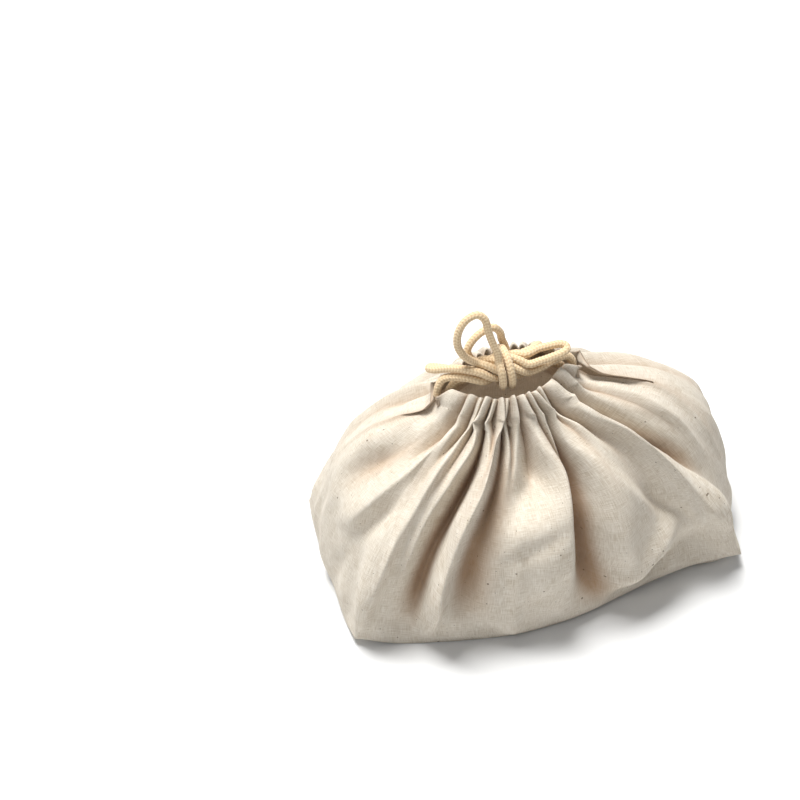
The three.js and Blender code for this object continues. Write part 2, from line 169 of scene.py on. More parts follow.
# Run of the folds down each panel: distance from its first seam at the mouth, half way and at the base
FRONT_RUN = table(
    "top mid low",
    [
        (0, -0.022, 0),
        (0.042, 0.010, 0.009),
        (0.074, 0.036, 0.028),
        (0.094, 0.070, 0.060),
        (0.112, 0.085, 0.078),
        (0.124, 0.098, 0.093),
        (0.142, 0.112, 0.106),
        (0.158, 0.128, 0.125),
        (0.206, 0.184, 0.188),
        (0.224, 0.203, 0.217),
        (0.240, 0.220, 0.234),
        (0.266, 0.260, 0.272),
        (0.288, 0.298, 0.318),
        (0.306, 0.318, 0.338),
        (0.350, 0.335, 0.354),
        (0.370, 0.347, 0.370),
    ],
)
BACK_RUN = table(
    "top mid low",
    [
        (0, -0.023, 0),
        (0.060, 0.042, 0.048),
        (0.118, 0.104, 0.098),
        (0.185, 0.184, 0.184),
        (0.252, 0.264, 0.270),
        (0.310, 0.308, 0.322),
        (0.370, 0.348, 0.370),
    ],
)

# Main folds: place at the mouth, share of the wall at the foot, height (a trough is negative), width on each
# side, and lean of the crest to the right
FRONT_FOLDS = table(
    "at foot height before after lean",
    [
        (0.042, 0.45, -0.007, 0.012, 0.012, 0),
        (0.071, 0.2, 0.009, 0.012, 0.010, 0),
        (0.094, 0, 0.008, 0.007, 0.006, 0),
        (0.110, 0.15, 0.008, 0.020, 0.007, 0.002),
        (0.124, 0.02, -0.015, 0.006, 0.007, 0),
        (0.142, 0, 0.015, 0.010, 0.006, 0.006),
        (0.157, 0.08, -0.012, 0.006, 0.013, 0),
        (0.206, 0.1, 0.007, 0.026, 0.009, 0.006),
        (0.224, 0, -0.020, 0.007, 0.008, 0),
        (0.242, 0.1, 0.009, 0.009, 0.014, 0),
        (0.266, 0.2, -0.006, 0.010, 0.009, 0),
        (0.288, 0.06, 0.013, 0.032, 0.008, 0.002),
        (0.306, 0.34, -0.013, 0.009, 0.010, 0),
        (0.347, 0.4, 0.007, 0.015, 0.010, 0),
    ],
)
BACK_FOLDS = table(
    "at foot height before after lean",
    [
        (0.048, 0.2, 0.006, 0.016, 0.013, 0.002),
        (0.075, 0.3, -0.006, 0.009, 0.011, 0),
        (0.110, 0.1, 0.007, 0.015, 0.009, 0.003),
        (0.130, 0.15, -0.007, 0.009, 0.010, 0),
        (0.164, 0.12, 0.006, 0.012, 0.016, -0.002),
        (0.205, 0.1, 0.004, 0.015, 0.012, 0),
        (0.230, 0.2, -0.006, 0.010, 0.012, 0),
        (0.260, 0.1, 0.007, 0.014, 0.011, -0.003),
        (0.288, 0.3, -0.005, 0.010, 0.010, 0),
        (0.322, 0.2, 0.003, 0.016, 0.016, 0),
    ],
)

# Small creases: distance along the panel and share of the wall at both ends, height and width
FRONT_CREASES = table(
    "from_place from_share to_place to_share height width",
    [
        (0.062, 0.01, 0.067, 0.55, 0.0034, 0.0035),
        (0.020, 0.34, 0.060, 0.62, -0.0030, 0.0080),
        (0.078, 0.12, 0.100, 0.05, -0.0022, 0.0060),
        (0.120, 0.10, 0.150, 0.04, -0.0018, 0.0070),
        (0.155, 0.02, 0.155, 0.50, 0.0018, 0.0035),
        (0.150, 0.44, 0.182, 0.54, -0.0022, 0.0060),
        (0.168, 0.20, 0.190, 0.34, -0.0016, 0.0060),
        (0.238, 0.60, 0.252, 0.44, 0.0020, 0.0050),
        (0.262, 0.42, 0.290, 0.30, -0.0020, 0.0050),
        (0.160, 0.66, 0.184, 0.90, -0.0150, 0.0130),
        (0.212, 0.14, 0.262, 0.33, 0.0080, 0.0090),
        (0.234, 0.10, 0.300, 0.22, -0.0060, 0.0110),
        (0.252, 0.52, 0.278, 0.30, -0.0030, 0.0060),
    ],
)
BACK_CREASES = table(
    "from_place from_share to_place to_share height width",
    [
        (0.020, 0.60, 0.028, 0.14, 0.0022, 0.0045),
        (0.070, 0.34, 0.110, 0.16, -0.0030, 0.0080),
        (0.150, 0.10, 0.215, 0.22, 0.0030, 0.0090),
        (0.190, 0.62, 0.230, 0.44, -0.0030, 0.0080),
        (0.270, 0.16, 0.300, 0.40, 0.0030, 0.0070),
        (0.338, 0.10, 0.344, 0.58, 0.0022, 0.0045),
    ],
)
CREASE_TAPER = 0.020
FOOT_RISE = 0.3
FOLD_SHARP = 1.6

# Cloth held flat beside the seams, and share of the wall that the base holds flat
SEAM_FLAT = 0.012
BASE_FLAT = 0.1

# Pleats drawn up by the cord: valley on the left of each one, its depth, share of the wall where it starts,
# then the fullness of the pleat, its lean to the right, and its rise at the top
FRONT_PLEATS = table(
    "valley deep reach full lean up",
    [
        (0.000, 0.0, 0.90, 0.5, 0, 0.0010),
        (0.058, 0.9, 0.66, 0.7, -0.0016, 0.0026),
        (0.084, 0.7, 0.78, 0.6, 0.0010, 0.0018),
        (0.099, 1.0, 0.62, 1.1, -0.0030, 0.0042),
        (0.123, 1.3, 0.50, 0.8, -0.0020, 0.0022),
        (0.138, 1.0, 0.86, 0.9, 0.0022, 0.0034),
        (0.157, 1.3, 0.60, 0.6, -0.0012, 0.0020),
        (0.170, 0.9, 0.80, 0.9, 0.0024, 0.0038),
        (0.186, 1.0, 0.72, 1.0, 0.0030, 0.0030),
        (0.211, 0.8, 0.70, 0.8, 0.0014, 0.0040),
        (0.225, 1.3, 0.50, 0.7, 0.0030, 0.0024),
        (0.246, 0.8, 0.84, 0.6, -0.0016, 0.0036),
        (0.262, 0.9, 0.76, 1.2, 0.0034, 0.0032),
        (0.304, 1.2, 0.55, 0.9, 0.0020, 0.0044),
        (0.336, 0.5, 0.85, 0.5, 0, 0.0012),
        (0.370, 0.0, 0.90, 0.3, 0, 0),
    ],
)
BACK_PLEATS = table(
    "valley deep reach full lean up",
    [
        (0.000, 0.0, 0.90, 0.3, 0, 0.0008),
        (0.036, 0.7, 0.56, 0.8, 0.0015, 0.0026),
        (0.066, 1.0, 0.40, 1.0, 0.0020, 0.0018),
        (0.088, 0.8, 0.56, 0.8, -0.0014, 0.0030),
        (0.112, 1.1, 0.36, 1.0, 0.0018, 0.0022),
        (0.134, 0.9, 0.50, 0.8, 0.0006, 0.0032),
        (0.160, 1.0, 0.44, 1.0, -0.0008, 0.0016),
        (0.180, 0.8, 0.58, 0.8, 0.0004, 0.0028),
        (0.205, 1.1, 0.38, 1.0, -0.0006, 0.0032),
        (0.228, 0.9, 0.52, 0.9, 0.0005, 0.0018),
        (0.254, 1.0, 0.42, 1.0, -0.0010, 0.0030),
        (0.280, 0.8, 0.56, 0.8, -0.0014, 0.0022),
        (0.306, 0.9, 0.46, 0.8, 0, 0.0028),
        (0.334, 0.4, 0.66, 0.6, 0, 0.0008),
        (0.370, 0.0, 0.90, 0.3, 0, 0),
    ],
)
PLEAT_RISE = 0.14
PLEAT_ROUND = 0.75
PLEAT_ENDS = 0.026

# Slight unevenness of the cloth: shortest and longest wave across the folds, and how much longer they are
# down the folds
WAVES = 40
WAVE_SEED = 5
WAVE_ACROSS = (0.014, 0.050)
WAVE_STRETCH = 2.2
WAVE_HEIGHT = 0.0009

# Depth at which a valley between folds gets its full painted warm shade, strength of the painted shade in
# the valleys between pleats, and how narrow that pleat shade is
VALLEY_SHADE_DEPTH = 0.010
PLEAT_SHADE = 0.9
PLEAT_SHADE_ROUND = 0.5

# Pressed side seams: ridge along each one, and the shares of the wall between which it shows
SEAM_RIDGE = 0.0009
SEAM_WIDTH = 0.0022
SEAM_SHARES = (0.2, 0.5)

# Slits above the end seams: where they start, how the back laps over the front there and how far it lies off
SLIT_SHARE = {"left": 0.86, "right": 0.80}
SLIT_RISE = 0.12
SLIT_LAP = 0.0060
SLIT_TUCK = -0.0015
SLIT_LIFT = 0.0010

# Narrow hem turned in along a slit: columns of the cloth that it lies behind, and how far
HEM_COLUMNS = (2, 4, 6)
HEM_GAP = 0.0008

# Mesh of the cloth: columns of front and back, rows, rings of the base and the one that lies on the floor
COLUMNS = {True: 360, False: 230}
WALL_ROWS = 118
TURNED_STEPS = 4
BASE_RINGS = (0.97, 0.93, 0.88, 0.84, 0.6, 0.3, 0.1)
BASE_LOW = 0.84
PROBE = {"place": 0.002, "share": 0.012, "across": 0.02}

# Cords: thickness, the knot's middle, ring of strands through it, turns round it, mesh, and plait
CORD = 0.0048
KNOT = np.array((-0.0175, -0.0042, 0.1444))
BUNDLE = 0.0061
BUNDLE_HALF = 0.014
BUNDLE_STEPS = 6
WRAP = 0.0111
WRAP_PITCH = 0.0054
WRAP_X = -0.0027
WRAP_STEP = 30
CORD_SIDES = 40
CORD_STEP = 0.0003
ROUTE_STEPS = 24
FIRST_SIDE = (0.3, 0.5, 0.8)
PLAIT_COLUMNS = 8
PLAIT_PITCH = 0.0019
PLAIT_SLANT = 0.55
PLAIT_DEPTH = 0.00038
STITCH_ROUND = 0.6
COLUMN_ROUND = 0.5
COLUMN_EDGE = 0.08

# Middle of the cloth's box in the sizes above, which is moved to the origin
MIDDLE = np.array((0.0009, -0.0093, 0))

# Camera: the point it looks at, where that point shows in the picture, direction, and picture scale there
PICTURE = 800
TARGET = Vector((0, 0, 0.050)) - Vector(MIDDLE)
TARGET_PIXEL = (530, 475)
AZIMUTH = -16
ELEVATION = 44
FOCAL_PIXELS = 2400
PIXELS_PER_METRE = 1665
SENSOR = 36
NEAR = 0.01

# Lamps and the light from all round
LAMPS = {
    "window": {"place": (-0.4, 0.8, 3.4), "size": 1.6, "power": 202, "colour": (1.0, 0.985, 0.96)},
    "fill": {"place": (-1.4, -1.6, 2.4), "size": 1.4, "power": 12, "colour": (1.0, 0.99, 0.97)},
}
WORLD_COLOUR = (0.95, 0.97, 1.0, 1)
WORLD_STRENGTH = 0.22
FLOOR_SIZE = 6
FLOOR_COLOUR = (0.78, 0.79, 0.80, 1)

# Linen: its colours, among them a painted warm shade for deep valleys, fineness of threads and of slubs
# along them, their relief, soft clouds of tone, strength of the painted valley shade, and share of the light
# let through
LINEN_COLOURS = {
    "dark thread": (0.54, 0.46, 0.35, 1),
    "pale thread": (0.85, 0.80, 0.71, 1),
    "cloud": (0.84, 0.79, 0.70, 1),
    # painted shade: warm brown laid into the valleys of the folds and between the pleats
    "valley": (0.38, 0.22, 0.11, 1),
    "fleck": (0.14, 0.09, 0.055, 1),
    "light through": (0.72, 0.55, 0.40, 1),
}
THREADS = 2600
SLUBS = 130
SLUB_RANGE = (0.78, 1.22)
WEAVE_RELIEF = 0.0004
WEAVE_STRENGTH = 0.55
CLOUDS = 70.0
CLOUD_RANGE = (0.35, 0.65)
CLOUD_SHARE = 0.3
VALLEY_SHADE_SHARE = 0.75
FLECK_SHARE = 0.8
LIGHT_THROUGH = 0.10

# Flecks in the linen: cells to a metre, share of the cells without one, and largest size in a cell
FLECKS = table("cells without size", [(130, 0.93, 0.09), (420, 0.95, 0.14)])

# Cotton: its colours, the groove one a painted shade between the strands, range over which the strands pass
# out of that shade, and fineness, range and relief of the fibres
COTTON_COLOURS = {"groove": (0.58, 0.40, 0.22, 1), "strand": (0.86, 0.70, 0.48, 1)}
STRAND_RANGE = (0.1, 0.9)
FIBRES = 2500.0
FIBRE_RANGE = (0.2, 0.8)
FIBRE_DARK = 0.75
FIBRE_RELIEF = 0.0002
FIBRE_STRENGTH = 0.3


def smooth(low, high, value):
    t = np.clip((value - low) / (high - low), 0, 1)
    return t * t * (3 - 2 * t)


def along(rows, key, value, column):
    """Smooth curve through one column of a table, by the value of its key column."""
    keys = rows[key]
    values = rows[column]
    last = len(keys) - 1
    before = np.maximum(np.arange(last + 1) - 1, 0)
    after = np.minimum(np.arange(last + 1) + 1, last)
    slopes = (values[after] - values[before]) / (keys[after] - keys[before])
    i = np.clip(np.searchsorted(keys, value, side="right") - 1, 0, last - 1)
    step = keys[i + 1] - keys[i]
    u = (value - keys[i]) / step
    start = (1 + 2 * u) * (1 - u) ** 2 * values[i] + u * (1 - u) ** 2 * step * slopes[i]
    return start + u * u * (3 - 2 * u) * values[i + 1] + u * u * (u - 1) * step * slopes[i + 1]


def run_distance(front, place, share):
    """Distance along a panel of the line of cloth that starts at a place on the mouth."""
    rows = FRONT_RUN if front else BACK_RUN
    u = 1 - share
    mid = along(rows, "top", place, "mid")
    low = along(rows, "top", place, "low")
    return place * (1 - 3 * u + 2 * u * u) + mid * 4 * u * (1 - u) + low * u * (2 * u - 1)


def base_edge(distance):
    """Base edge at a distance round the girth from the left seam: place, and what its corner does."""
    left = (distance + BASE_DEPTH / 2 + GIRTH) % GIRTH
    ends = np.cumsum(SIDES["length"])
    k = np.clip(np.searchsorted(ends, left, side="right"), 0, len(ends) - 1)
    length = SIDES["length"][k]
    u = (left - (ends[k] - length)) / length
    after = (k + 1) % len(ends)
    run_x = CORNERS["x"][after] - CORNERS["x"][k]
    run_y = CORNERS["y"][after] - CORNERS["y"][k]
    size = np.hypot(run_x, run_y)
    bow = SIDES["bow"][k] * np.where(k == FRONT_SIDE, along(FRONT_BOW, "share", u, "out"), 4 * u * (1 - u))
    turn = smooth(0.5 - SIDE_BLEND, 0.5 + SIDE_BLEND, u)
    away = np.minimum(u, 1 - u) * length

    def corner(column):
        return CORNERS[column][k] + (CORNERS[column][after] - CORNERS[column][k]) * turn

    return {
        "x": CORNERS["x"][k] + run_x * u + run_y / size * bow,
        "y": CORNERS["y"][k] + run_y * u - run_x / size * bow,
        "away": away,
        "sag": corner("sag") * np.exp(-((away / SAG_REACH) ** 2)),
        "lift": corner("lift") * np.exp(-((away / corner("reach")) ** 2)),
        "long": SIDES["long"][k] > 0,
    }


def ring_x(front, across):
    left, right = RING_ENDS[front]
    return left + (right - left) * (across + 1) / 2


def mouth_point(front, across):
    """Point of the stitch line; across runs from -1 to 1 from the left end to the right end."""
    half = RING_HALF * (1 - np.abs(across) ** RING_POWER)
    return ring_x(front, np.sign(across) * np.abs(across) ** RING_SPREAD), -half if front else half


def plain_point(front, place, share):
    """Cloth without folds, at a place on the mouth and a share of the wall."""
    distance = run_distance(front, place, share)
    edge = base_edge(distance if front else distance + PANEL)
    across = (1 if front else -1) * (2 * place / PANEL - 1)
    mouth_x, mouth_y = mouth_point(front, across)
    long = np.where(edge["long"], smooth(0, LONG_BLEND, edge["away"]), 0)
    end = np.where(edge["long"], 0, smooth(0, END_BLEND, edge["away"]))
    face = "front" if front else "back"

    def blend(rows):
        corner = (1 - long - end) * along(rows, "share", share, "corner")
        return corner + long * along(rows, "share", share, face) + end * along(rows, "share", share, "end")

    inset = blend(INSETS)
    tip = edge["lift"] * np.maximum(0, 1 - share / TIP_SHARE) ** 2
    sag = edge["sag"] * 4 * share * (1 - share)
    rise = np.where(across < 0, RING_RISE["left"], RING_RISE["right"]) * across**2 * share**2
    x = edge["x"] + (mouth_x - edge["x"]) * inset
    y = edge["y"] + (mouth_y - edge["y"]) * inset
    return np.stack([x, y, FLOOR_GAP + blend(HEIGHTS) + rise + tip - sag], axis=-1)


def fold_height(front, place, share):
    """Sum of the main folds, and their lean along the panel."""
    folds = FRONT_FOLDS if front else BACK_FOLDS
    total = np.zeros_like(place)
    lean = np.zeros_like(place)
    for at, foot, height, before, after, over in zip(*folds.values()):
        width = np.where(place < at, before, after)
        across = np.exp(-(np.abs((place - at) / width) ** FOLD_SHARP))
        shape = smooth(foot, foot + FOOT_RISE, share) * across
        total += height * shape
        lean += over * shape
    seam = smooth(0, SEAM_FLAT, np.minimum(place, PANEL - place))
    return total * seam, lean * seam


def crease_height(front, distance, share):
    """Sum of the small creases, each a line in the cloth that fades at its ends."""
    creases = FRONT_CREASES if front else BACK_CREASES
    total = np.zeros_like(distance)
    up = share * WALL
    for x, low, to_x, high, height, width in zip(*creases.values()):
        run = np.array((to_x - x, (high - low) * WALL))
        length = np.hypot(*run)
        ahead = ((distance - x) * run[0] + (up - low * WALL) * run[1]) / length
        aside = ((distance - x) * run[1] - (up - low * WALL) * run[0]) / length
        start = smooth(-CREASE_TAPER, CREASE_TAPER, ahead)
        end = smooth(-CREASE_TAPER, CREASE_TAPER, length - ahead)
        total += height * (start * end) * np.exp(-((aside / width) ** 2))
    return total


def end_fade(place):
    """One away from the flat ends of the tunnel, nought at them."""
    return smooth(0, PLEAT_ENDS, np.minimum(place, PANEL - place))


def pleat_here(front, place):
    """The pleats of a panel, the number of the one at a place, and the share of the way across it."""
    rows = FRONT_PLEATS if front else BACK_PLEATS
    valleys = rows["valley"]
    i = np.clip(np.searchsorted(valleys, place, side="right") - 1, 0, len(valleys) - 2)
    return rows, i, (place - valleys[i]) / (valleys[i + 1] - valleys[i])


def crest_height(across, round_off):
    """Height across a pleat: nought in its valleys, one on its crest."""
    return np.sin(np.pi * np.clip(across, 0, 1)) ** round_off


def pleat_at(front, place, share):
    """Pleats at a place: height as a share of their depth, and lean and rise of the one that is there."""
    rows, i, across = pleat_here(front, place)
    crest = crest_height(across, PLEAT_ROUND)

    def low(j):
        return rows["deep"][j] * smooth(rows["reach"][j], rows["reach"][j] + PLEAT_RISE, share)

    drop = low(i) + (low(i + 1) - low(i)) * across
    near = np.maximum(low(i), low(i + 1))
    fade = end_fade(place)
    height = crest * rows["full"][i] * near - (1 - crest) * drop
    return height * fade, rows["lean"][i] * crest**2 * near * fade, rows["up"][i] * crest * fade


def pleat_depth(front, share):
    """Depth of a panel's pleats at a share of the wall."""
    return along(HEIGHTS, "share", share, "front_pleat" if front else "back_pleat")


def unevenness(across, up):
    """Slight waves in the cloth, the same in each run."""
    chance = np.random.default_rng(WAVE_SEED)
    total = np.zeros_like(across)
    for _ in range(WAVES):
        length = chance.uniform(*WAVE_ACROSS)
        slant = chance.uniform(-1, 1) / WAVE_STRETCH
        phase = chance.uniform(0, 2 * np.pi)
        total += np.sin(2 * np.pi * (across + slant * up) / length + phase) * length
    return total / (np.mean(WAVE_ACROSS) * np.sqrt(WAVES / 2))


def unit(vectors):
    return vectors / np.linalg.norm(vectors, axis=-1, keepdims=True)


def wall_frame(front, place, share):
    """Directions along the panel and out of the cloth, before it is folded."""
    before = plain_point(front, np.maximum(place - PROBE["place"], 0), share)
    after = plain_point(front, np.minimum(place + PROBE["place"], PANEL), share)
    low = plain_point(front, place, np.maximum(share - PROBE["share"], 0))
    high = plain_point(front, place, np.minimum(share + PROBE["share"], 1))
    return unit(after - before), unit(np.cross(after - before, high - low))


def slit_lap(front, place, share):
    """Shift along the panel and lift where the back laps over the front at the slits."""
    near = 1 - smooth(0, SEAM_FLAT, np.minimum(place, PANEL - place))
    first = place < PANEL / 2
    start = np.where(first == front, SLIT_SHARE["left"], SLIT_SHARE["right"])
    part = near * smooth(start, start + SLIT_RISE, share)
    side = np.where(first, -1, 1)
    lap, lift = (SLIT_TUCK, -SLIT_LIFT) if front else (SLIT_LAP, SLIT_LIFT)
    return side * lap * part, lift * part


def seam_distance(front, place, share):
    """Distance along the panel to the nearer side seam."""
    distance = run_distance(front, place, share)
    first = run_distance(front, np.zeros_like(place), share)
    last = run_distance(front, np.full_like(place, PANEL), share)
    return np.minimum(last - distance, distance - first)


def wall_point(front, place, share):
    """Folded cloth of the wall, and how deep in a valley it lies, which sets its painted shade."""
    tangent, normal = wall_frame(front, place, share)
    bulge, lean, _ = pleat_at(front, place, share)
    weight = along(HEIGHTS, "share", share, "fold")
    fold, over = fold_height(front, place, share)
    height = fold * weight + bulge * pleat_depth(front, share)
    # share of painted shade, growing with the depth of the valley between folds
    valley = np.clip(-height / VALLEY_SHADE_DEPTH, 0, 1)
    distance = run_distance(front, place, share)
    loose = smooth(0, BASE_FLAT, share) * smooth(0, SEAM_FLAT, np.minimum(place, PANEL - place))
    height += crease_height(front, distance, share) * loose
    height += WAVE_HEIGHT * unevenness(distance + (0 if front else PANEL), share * WALL) * loose
    lap, lift = slit_lap(front, place, share)
    shift = over * weight + lean * along(HEIGHTS, "share", share, "curl") + lap
    height += lift
    seam = seam_distance(front, place, share)
    height += SEAM_RIDGE * np.exp(-((seam / SEAM_WIDTH) ** 2)) * smooth(*SEAM_SHARES, share)
    folded = plain_point(front, place, share) + normal * height[..., None] + tangent * shift[..., None]
    return folded, valley


def turned_points(front, place):
    """Rows of the turned edge, from above the stitch line over the fold and down inside."""
    sign = 1 if front else -1
    across = sign * (2 * place / PANEL - 1)
    top = np.ones_like(place)
    centre = plain_point(front, place, top)
    centre[..., 2] += STITCH_DROP
    from_x, from_y = mouth_point(front, np.maximum(across - PROBE["across"], -1))
    to_x, to_y = mouth_point(front, np.minimum(across + PROBE["across"], 1))
    inward = ring_x(front, across) - centre[..., 0]
    apart = -sign * TUNNEL_GAP * np.abs(across) ** GAP_POWER
    level = unit(np.stack([sign * (to_y - from_y), sign * (from_x - to_x), np.zeros_like(place)], axis=-1))
    tangent, normal = wall_frame(front, place, top)
    lap, lap_lift = slit_lap(front, place, top)
    fade = end_fade(place)
    room = TUNNEL_END + (TUNNEL - TUNNEL_END) * fade
    slope = TUNNEL_LEAN * (LEAN_ENDS + (1 - LEAN_ENDS) * fade) / (FOLD_RISE + STITCH_DROP)
    flap = FLAP_LOW + (1 - FLAP_LOW) * fade
    bulge, lean, rise = pleat_at(front, place, top)
    points = []
    for outer, inner, depth, up, lift in zip(*TURNED_ROWS.values()):
        climb = (up + STITCH_DROP) / (FOLD_RISE + STITCH_DROP)
        turn = 1 if inner else min(2 * climb, 1)
        out = unit(normal + (level - normal) * turn)
        shift = lean * depth / HEIGHTS["front_pleat"][-1] + lap * (1 - turn)
        push = depth * bulge + lap_lift * (1 - turn)
        point = centre + out * push[..., None] + tangent * shift[..., None]
        point += level * ((outer - inner) * room - slope * (up + STITCH_DROP))[..., None]
        point[..., 0] += inward * climb
        point[..., 1] += apart * turn
        point[..., 2] += up * np.where(up > 0, flap, 1)
        point[..., 2] += lift * rise
        points.append(point)
    return np.stack(points, axis=1)


def spline(points, steps):
    """Smooth curves through rows of points, with some steps from each row to the next."""
    padded = np.concatenate([points[:, :1], points, points[:, -1:]], axis=1)
    a, b, c, d = padded[:, :-3], padded[:, 1:-2], padded[:, 2:-1], padded[:, 3:]
    made = []
    for i in range(steps):
        u = i / steps
        made.append(
            b
            + 0.5 * u * (c - a)
            + u * u * (a - 2.5 * b + 2 * c - 0.5 * d)
            + u**3 * 0.5 * (3 * (b - c) + d - a)
        )
    rows = np.stack(made, axis=2).reshape(len(points), -1, 3)
    return np.concatenate([rows, points[:, -1:]], axis=1)


def panel_points(front):
    """Grid of one panel, with a column for each place and rows up the wall and over the turned edge, and for
    each point its place in the cut cloth and its share of painted shade in a valley."""
    places = np.linspace(0, PANEL, COLUMNS[front] + 1)
    shares = np.linspace(0, 1, WALL_ROWS + 1)
    place, share = np.meshgrid(places, shares, indexing="ij")
    wall, valley = wall_point(front, place, share)
    turned = turned_points(front, places)
    edge = spline(np.concatenate([wall[:, [-4, -1]], turned], axis=1), TURNED_STEPS)[:, TURNED_STEPS + 1 :]
    grid = np.concatenate([wall, edge], axis=1)
    more = ((0, 0), (0, edge.shape[1]))
    across = np.pad(run_distance(front, place, share) + (0 if front else PANEL), more, mode="edge")
    climb = np.cumsum(np.linalg.norm(np.diff(grid[:, WALL_ROWS:], axis=1), axis=-1), axis=1) + WALL
    up = np.concatenate([share * WALL, climb], axis=1)
    # painted shade in the valleys between pleats, stronger where the pleats are deeper
    between = 1 - crest_height(pleat_here(front, places)[2], PLEAT_SHADE_ROUND)
    depth = pleat_depth(front, np.pad(share, more, mode="edge"))
    pleat_shade = PLEAT_SHADE * depth / HEIGHTS["front_pleat"].max() * between[:, None]
    return grid, np.stack([across, up, np.maximum(np.pad(valley, more, mode="edge"), pleat_shade)], axis=-1)


def bag_mesh():
    """The whole cloth as one sheet: base, wall and turned edges."""
    slit_row = {side: int(share * WALL_ROWS) for side, share in SLIT_SHARE.items()}
    points = []
    flat = []
    faces = []
    numbers = {}

    def add(place, cut):
        points.append(place)
        flat.append(cut)
        return len(points) - 1

    for front in (True, False):
        grid, cut = panel_points(front)
        shape = grid.shape[:2]
        numbers[front] = np.arange(shape[0] * shape[1]).reshape(shape) + len(points)
        points.extend(grid.reshape(-1, 3))
        flat.extend(cut.reshape(-1, 3))
    front_ids, back_ids = numbers[True], numbers[False]
    back_ids[0, : slit_row["right"] + 1] = front_ids[-1, : slit_row["right"] + 1]
    back_ids[-1, : slit_row["left"] + 1] = front_ids[0, : slit_row["left"] + 1]
    for ids in (front_ids, back_ids):
        quads = np.stack([ids[:-1, :-1], ids[1:, :-1], ids[1:, 1:], ids[:-1, 1:]], axis=-1)
        faces.extend(quads.reshape(-1, 4).tolist())
    for ids, left, right in ((front_ids, "left", "right"), (back_ids, "right", "left")):
        faces.extend(slit_hem(ids, 1, slit_row[left], points, flat, add))
        faces.extend(slit_hem(ids[::-1], -1, slit_row[right], points, flat, add))
    outer = np.concatenate([front_ids[:-1, 0], back_ids[:-1, 0]])
    rim = np.array([points[i] for i in outer])
    middle = rim.mean(axis=0)
    for share in BASE_RINGS:
        ring = middle + (rim - middle) * share
        ring[:, 2] = rim[:, 2] + (FLOOR_GAP - rim[:, 2]) * smooth(1, BASE_LOW, share)
        inner = np.array([add(place, np.array((place[0], place[1], 0))) for place in ring])
        faces.extend(np.stack([inner, np.roll(inner, -1), np.roll(outer, -1), outer], axis=-1).tolist())
        outer = inner
    faces.append(outer[::-1].tolist())
    return finished_mesh("linen_bag", points, faces, flat)


def slit_hem(ids, inward, slit_row, points, flat, add):
    """Narrow hem turned in along one edge of a slit."""
    rows = ids[:, slit_row:]
    edge, beside = (np.array([points[i] for i in column]) for column in rows[:2])
    up = np.concatenate([edge[1:], edge[-1:]]) - np.concatenate([edge[:1], edge[:-1]])
    behind = -inward * HEM_GAP * unit(np.cross(beside - edge, up))
    faces = []
    last = rows[0]
    for column in HEM_COLUMNS:
        turned = np.array([add(points[i] + gap, flat[i]) for i, gap in zip(rows[column], behind)])
        quads = np.stack([turned[:-1], last[:-1], last[1:], turned[1:]], axis=-1)
        faces.extend((quads if inward > 0 else quads[:, ::-1]).tolist())
        last = turned
    return faces


def finished_mesh(name, points, faces, flat=None):
    """Smooth mesh in its place, with its cut in the cloth as a map where it has one."""
    mesh = bpy.data.meshes.new(name)
    mesh.from_pydata((np.array(points) - MIDDLE).tolist(), [], faces)
    mesh.polygons.foreach_set("use_smooth", np.ones(len(mesh.polygons), bool))
    if flat is not None:
        layer = mesh.uv_layers.new(name="cut")
        corners = np.empty(len(mesh.loops), int)
        mesh.loops.foreach_get("vertex_index", corners)
        layer.data.foreach_set("uv", np.array(flat)[corners, :2].ravel())
        # share of painted shade in the valleys, read by the linen
        valley = mesh.attributes.new("valley", "FLOAT", "POINT")
        valley.data.foreach_set("value", np.array(flat)[:, 2].astype(np.float32))
    mesh.update()
    piece = bpy.data.objects.new(name, mesh)
    bpy.context.scene.collection.objects.link(piece)
    return piece


def through_knot(angle, to_right):
    """A strand through the knot: six lie in a ring that makes half a turn from left to right."""
    share = np.linspace(0, 1, BUNDLE_STEPS + 1)
    if not to_right:
        share = 1 - share
    turn = np.radians(angle + 180 * share)
    x = BUNDLE_HALF * (2 * share - 1)
    return np.stack([x, BUNDLE * np.cos(turn), BUNDLE * np.sin(turn)], axis=-1).tolist()


def wrap_turns(start, end):
    """Turns round the six strands, by angle up from the front."""
    angle = np.arange(start, end - 1, -WRAP_STEP)
    turn = np.radians(angle)
    x = WRAP_X - WRAP_PITCH * angle / 360
    return np.stack([x, -WRAP * np.cos(turn), WRAP * np.sin(turn)], axis=-1).tolist()


# Runs of the right cord, as points along it from the middle of the knot
RIGHT_ROUTE = {
    "out of the slit": [
        (0.0375, 0.0042, -0.0140),
        (0.0355, 0.0042, -0.0105),
        (0.0305, 0.0039, -0.0080),
        (0.0235, 0.0022, -0.0075),
    ],
    "first strand": through_knot(90, False),
    "large loop": [
        (-0.0195, -0.0005, 0.0105),
        (-0.0240, -0.0005, 0.0165),
        (-0.0260, 0.0000, 0.0230),
        (-0.0250, 0.0010, 0.0310),
        (-0.0202, 0.0020, 0.0378),
        (-0.0138, 0.0020, 0.0403),
        (-0.0098, 0.0010, 0.0372),
        (-0.0080, -0.0010, 0.0285),
        (-0.0060, -0.0030, 0.0210),
        (-0.0040, -0.0043, 0.0155),
    ],
    "round the knot": wrap_turns(60, -540),
    "small loop": [
        (0.0046, 0.0113, 0.0055),
        (0.0026, 0.0107, 0.0115),
        (0.0014, 0.0100, 0.0175),
        (-0.0027, 0.0090, 0.0228),
        (-0.0093, 0.0080, 0.0220),
        (-0.0155, 0.0070, 0.0175),
        (-0.0188, 0.0060, 0.0120),
        (-0.0175, 0.0054, 0.0065),
    ],
    "second strand": through_knot(30, True),
    "into the slit": [
        (0.0235, -0.0033, -0.0025),
        (0.0325, 0.0007, -0.0025),
        (0.0395, 0.0039, -0.0045),
        (0.0428, 0.0042, -0.0090),
        (0.0432, 0.0042, -0.0130),
    ],
}

